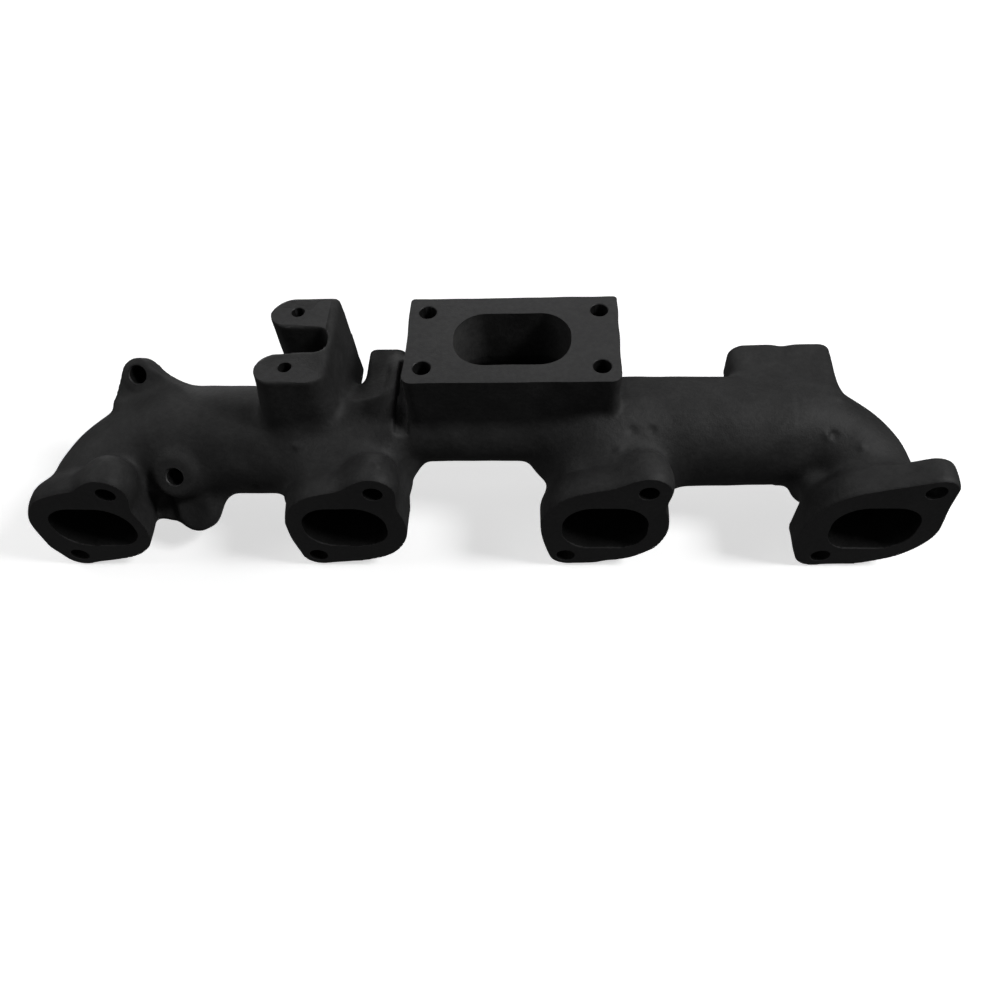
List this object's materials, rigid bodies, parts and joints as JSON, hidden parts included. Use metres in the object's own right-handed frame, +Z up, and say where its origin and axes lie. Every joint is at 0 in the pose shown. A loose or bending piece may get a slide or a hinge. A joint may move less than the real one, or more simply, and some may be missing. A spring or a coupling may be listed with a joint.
{
  "type": "exhaust manifold",
  "caption": "Cast iron log exhaust manifold with port flanges along one side, an oval turbocharger opening on top, a slotted bracket and cast lugs and bosses.",
  "frame": {"origin": "midway between ports 2 and 3, on the plane of the port faces, at port centre height: the centre of the two cylinder head bolts nearest the middle", "axes": "+X along the row of ports from port 1 to port 4, +Y away from the cylinder head, +Z up, out of the turbocharger face"},
  "size_m": [0.42, 0.0885, 0.094],
  "materials": {
    "pipe_casting": "sand-cast skin under thin black heat-resistant paint",
    "flange_casting": "machined flat faces under thin black heat-resistant paint",
    "boss_casting": "sand-cast skin, milled tops, thin black heat-resistant paint"
  },
  "bodies": {
    "root": {"port_flange_1": "flange_casting", "port_flange_2": "flange_casting", "port_flange_3": "flange_casting", "port_flange_4": "flange_casting", "end_bend_1": "pipe_casting", "runner_2": "pipe_casting", "runner_3": "pipe_casting", "end_bend_4": "pipe_casting", "log_left": "pipe_casting", "log_tee_2": "pipe_casting", "collector": "pipe_casting", "log_tee_3": "pipe_casting", "log_right": "pipe_casting", "turbo_riser": "pipe_casting", "turbo_flange": "flange_casting", "bracket_front_lug": "boss_casting", "bracket_rear_lug": "boss_casting", "bracket_web": "boss_casting", "end_ear": "boss_casting", "end_lug": "boss_casting", "sensor_boss": "boss_casting", "rear_boss": "boss_casting", "rear_boss_pair": "boss_casting"}
  },
  "joints": []
}
